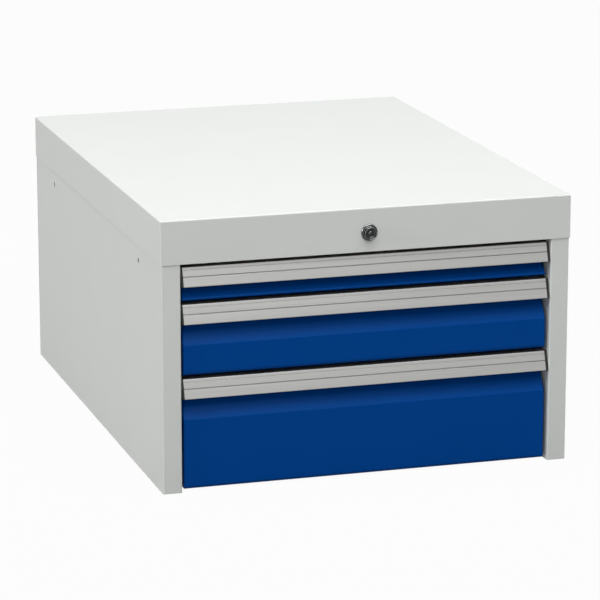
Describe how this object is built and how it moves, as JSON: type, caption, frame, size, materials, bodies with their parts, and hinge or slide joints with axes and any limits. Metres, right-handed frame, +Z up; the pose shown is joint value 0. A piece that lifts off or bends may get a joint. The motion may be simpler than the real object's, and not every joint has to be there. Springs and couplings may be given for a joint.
{
  "type": "steel drawer cabinet",
  "caption": "Sheet-steel drawer cabinet with tilted handle strips, ball slides and one central lock, open underneath, for use under a bench top or on a shelf.",
  "frame": {"origin": "middle of the outline in plan, on the plane that the side panels stand on", "axes": "+Z up, +Y from the drawer fronts to the rear, +X to the right as seen from the front"},
  "size_m": [0.564, 0.75, 0.366],
  "materials": {
    "housing_paint": "light grey powder coat, satin",
    "front_paint": "ultramarine blue powder coat, satin",
    "tray_paint": "light grey powder coat, satin",
    "handle_aluminium": "extruded and anodised, matt",
    "cap_plastic": "moulded black polypropylene",
    "zinc_steel": "bright zinc plated",
    "ball_steel": "hardened balls in bright steel cages",
    "lock_chrome": "dark polished chrome",
    "guide_nylon": "black nylon",
    "bush_brass": "turned"
  },
  "bodies": {
    "housing": {"cover": "housing_paint", "side_panel_left": "housing_paint", "side_panel_right": "housing_paint", "rear_panel": "housing_paint", "rear_rivets": "zinc_steel", "lock_rail": "housing_paint", "bottom_tie_front": "housing_paint", "bottom_tie_rear": "housing_paint", "slide_uprights_left": "zinc_steel", "slide_uprights_right": "zinc_steel", "slide_screws": "zinc_steel", "cover_nuts": "zinc_steel", "lock_housing": "lock_chrome", "lock_nut": "zinc_steel", "shaft_bracket": "zinc_steel", "shaft_bush": "bush_brass", "lock_bar_guides": "guide_nylon", "slide_outer_left_1": "zinc_steel", "slide_outer_right_1": "zinc_steel", "slide_outer_left_2": "zinc_steel", "slide_outer_right_2": "zinc_steel", "slide_outer_left_3": "zinc_steel", "slide_outer_right_3": "zinc_steel"},
    "lock_turner": {"lock_plug": "lock_chrome", "lock_shaft": "zinc_steel", "lock_crank": "zinc_steel"},
    "lock_bar": {"lock_bar": "zinc_steel"},
    "drawer_1": {"drawer_front_1": "front_paint", "drawer_tray_1": "tray_paint", "drawer_screws_1": "zinc_steel", "handle_strip_1": "handle_aluminium", "handle_caps_1": "cap_plastic", "lock_catch_1": "zinc_steel", "slide_inner_left_1": "zinc_steel", "slide_inner_right_1": "zinc_steel"},
    "middles_1": {"slide_middles_1": "zinc_steel"},
    "outer_cages_1": {"outer_ball_cages_1": "ball_steel"},
    "inner_cages_1": {"inner_ball_cages_1": "ball_steel"},
    "drawer_2": {"drawer_front_2": "front_paint", "drawer_tray_2": "tray_paint", "drawer_screws_2": "zinc_steel", "handle_strip_2": "handle_aluminium", "handle_caps_2": "cap_plastic", "lock_catch_2": "zinc_steel", "slide_inner_left_2": "zinc_steel", "slide_inner_right_2": "zinc_steel"},
    "middles_2": {"slide_middles_2": "zinc_steel"},
    "outer_cages_2": {"outer_ball_cages_2": "ball_steel"},
    "inner_cages_2": {"inner_ball_cages_2": "ball_steel"},
    "drawer_3": {"drawer_front_3": "front_paint", "drawer_tray_3": "tray_paint", "drawer_screws_3": "zinc_steel", "handle_strip_3": "handle_aluminium", "handle_caps_3": "cap_plastic", "lock_catch_3": "zinc_steel", "slide_inner_left_3": "zinc_steel", "slide_inner_right_3": "zinc_steel"},
    "middles_3": {"slide_middles_3": "zinc_steel"},
    "outer_cages_3": {"outer_ball_cages_3": "ball_steel"},
    "inner_cages_3": {"inner_ball_cages_3": "ball_steel"}
  },
  "joints": [
    {"name": "drawer_1_slide", "type": "slide", "parent": "housing", "child": "drawer_1", "axis": [0, -1, 0], "range_m": [0, 0.58]},
    {"name": "middles_1_slide", "type": "slide", "parent": "housing", "child": "middles_1", "axis": [0, -1, 0], "range_m": [0, 0.29]},
    {"name": "outer_cages_1_slide", "type": "slide", "parent": "housing", "child": "outer_cages_1", "axis": [0, -1, 0], "range_m": [0, 0.145]},
    {"name": "inner_cages_1_slide", "type": "slide", "parent": "housing", "child": "inner_cages_1", "axis": [0, -1, 0], "range_m": [0, 0.435]},
    {"name": "drawer_2_slide", "type": "slide", "parent": "housing", "child": "drawer_2", "axis": [0, -1, 0], "range_m": [0, 0.58]},
    {"name": "middles_2_slide", "type": "slide", "parent": "housing", "child": "middles_2", "axis": [0, -1, 0], "range_m": [0, 0.29]},
    {"name": "outer_cages_2_slide", "type": "slide", "parent": "housing", "child": "outer_cages_2", "axis": [0, -1, 0], "range_m": [0, 0.145]},
    {"name": "inner_cages_2_slide", "type": "slide", "parent": "housing", "child": "inner_cages_2", "axis": [0, -1, 0], "range_m": [0, 0.435]},
    {"name": "drawer_3_slide", "type": "slide", "parent": "housing", "child": "drawer_3", "axis": [0, -1, 0], "range_m": [0, 0.58]},
    {"name": "middles_3_slide", "type": "slide", "parent": "housing", "child": "middles_3", "axis": [0, -1, 0], "range_m": [0, 0.29]},
    {"name": "outer_cages_3_slide", "type": "slide", "parent": "housing", "child": "outer_cages_3", "axis": [0, -1, 0], "range_m": [0, 0.145]},
    {"name": "inner_cages_3_slide", "type": "slide", "parent": "housing", "child": "inner_cages_3", "axis": [0, -1, 0], "range_m": [0, 0.435]},
    {"name": "lock_turn", "type": "hinge", "parent": "housing", "child": "lock_turner", "pos_m": [0, 0, 0.333], "axis": [0, 1, 0], "range_deg": [0, 90]},
    {"name": "lock_bar_lift", "type": "slide", "parent": "housing", "child": "lock_bar", "axis": [0, 0, 1], "range_m": [0, 0.01131]}
  ],
  "couplings": [
    {"joint": "middles_1_slide", "follows": "drawer_1_slide", "ratio": 0.5},
    {"joint": "outer_cages_1_slide", "follows": "drawer_1_slide", "ratio": 0.25},
    {"joint": "inner_cages_1_slide", "follows": "drawer_1_slide", "ratio": 0.75},
    {"joint": "middles_2_slide", "follows": "drawer_2_slide", "ratio": 0.5},
    {"joint": "outer_cages_2_slide", "follows": "drawer_2_slide", "ratio": 0.25},
    {"joint": "inner_cages_2_slide", "follows": "drawer_2_slide", "ratio": 0.75},
    {"joint": "middles_3_slide", "follows": "drawer_3_slide", "ratio": 0.5},
    {"joint": "outer_cages_3_slide", "follows": "drawer_3_slide", "ratio": 0.25},
    {"joint": "inner_cages_3_slide", "follows": "drawer_3_slide", "ratio": 0.75},
    {"joint": "lock_turn", "follows": "lock_bar_lift", "rad_per_m": 138.84}
  ]
}
